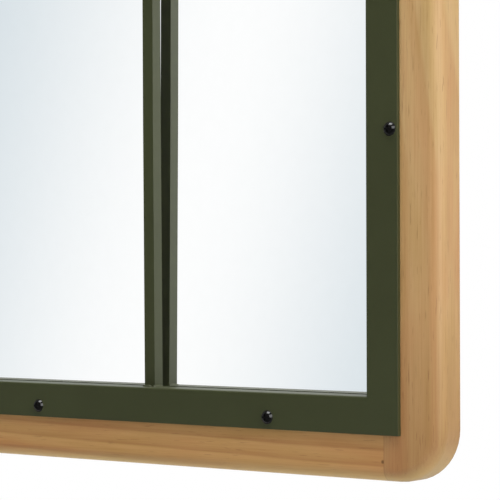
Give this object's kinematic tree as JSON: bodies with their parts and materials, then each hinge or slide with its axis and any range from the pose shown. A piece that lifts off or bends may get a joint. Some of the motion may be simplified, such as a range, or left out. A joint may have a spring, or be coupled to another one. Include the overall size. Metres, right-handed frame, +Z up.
{
  "type": "window mirror",
  "caption": "Wall mirror made like a window: wood frame with round corners, a screwed-on steel angle frame and glazing bars over one mirror sheet.",
  "frame": {"origin": "midway between the two keyholes' entry holes, in the plane of the wood frame's back", "axes": "+X right as seen from the front, +Y towards the wall, +Z up"},
  "size_m": [0.56, 0.0314, 1],
  "materials": {
    "pine_clear": "clear matt lacquer",
    "olive_powder_coat": "fine matt powder coat",
    "beech_dowel": "bare",
    "black_screw": "gloss black",
    "grey_foam_tape": "matt foam",
    "mirror_silver": "silvered float glass",
    "hardboard": "smooth pressed board",
    "zinc_steel": "bright zinc plate",
    "pad_rubber": "matt"
  },
  "bodies": {
    "root": {"stile_left": "pine_clear", "stile_right": "pine_clear", "rail_bottom": "pine_clear", "rail_top": "pine_clear", "corner_dowels": "beech_dowel", "steel_angle_bottom": "olive_powder_coat", "steel_angle_top": "olive_powder_coat", "steel_angle_left": "olive_powder_coat", "steel_angle_right": "olive_powder_coat", "upright_1": "olive_powder_coat", "upright_2": "olive_powder_coat", "cross_bar_1_1": "olive_powder_coat", "cross_bar_1_2": "olive_powder_coat", "cross_bar_1_3": "olive_powder_coat", "cross_bar_2_1": "olive_powder_coat", "cross_bar_2_2": "olive_powder_coat", "cross_bar_2_3": "olive_powder_coat", "weld_beads": "olive_powder_coat", "front_screws": "black_screw", "glazing_tape": "grey_foam_tape", "mirror_glass": "mirror_silver", "backboard": "hardboard", "turn_button_screws": "zinc_steel", "keyhole_plate_left": "zinc_steel", "keyhole_plate_right": "zinc_steel", "keyhole_screws": "zinc_steel", "wall_pads": "pad_rubber"},
    "turn_button_left_1": {"turn_button_left_1": "zinc_steel"},
    "turn_button_right_1": {"turn_button_right_1": "zinc_steel"},
    "turn_button_left_2": {"turn_button_left_2": "zinc_steel"},
    "turn_button_right_2": {"turn_button_right_2": "zinc_steel"},
    "turn_button_left_3": {"turn_button_left_3": "zinc_steel"},
    "turn_button_right_3": {"turn_button_right_3": "zinc_steel"},
    "turn_button_bottom": {"turn_button_bottom": "zinc_steel"},
    "turn_button_top": {"turn_button_top": "zinc_steel"}
  },
  "joints": [
    {"name": "turn_button_left_1_turn", "type": "hinge", "parent": "root", "child": "turn_button_left_1", "pos_m": [-0.262, 0, -0.72333], "axis": [0, 1, 0], "continuous": true},
    {"name": "turn_button_right_1_turn", "type": "hinge", "parent": "root", "child": "turn_button_right_1", "pos_m": [0.262, 0, -0.72333], "axis": [0, 1, 0], "continuous": true},
    {"name": "turn_button_left_2_turn", "type": "hinge", "parent": "root", "child": "turn_button_left_2", "pos_m": [-0.262, 0, -0.39], "axis": [0, 1, 0], "continuous": true},
    {"name": "turn_button_right_2_turn", "type": "hinge", "parent": "root", "child": "turn_button_right_2", "pos_m": [0.262, 0, -0.39], "axis": [0, 1, 0], "continuous": true},
    {"name": "turn_button_left_3_turn", "type": "hinge", "parent": "root", "child": "turn_button_left_3", "pos_m": [-0.262, 0, -0.05667], "axis": [0, 1, 0], "continuous": true},
    {"name": "turn_button_right_3_turn", "type": "hinge", "parent": "root", "child": "turn_button_right_3", "pos_m": [0.262, 0, -0.05667], "axis": [0, 1, 0], "continuous": true},
    {"name": "turn_button_bottom_turn", "type": "hinge", "parent": "root", "child": "turn_button_bottom", "pos_m": [0, 0, -0.872], "axis": [0, 1, 0], "continuous": true},
    {"name": "turn_button_top_turn", "type": "hinge", "parent": "root", "child": "turn_button_top", "pos_m": [0, 0, 0.092], "axis": [0, 1, 0], "continuous": true}
  ]
}
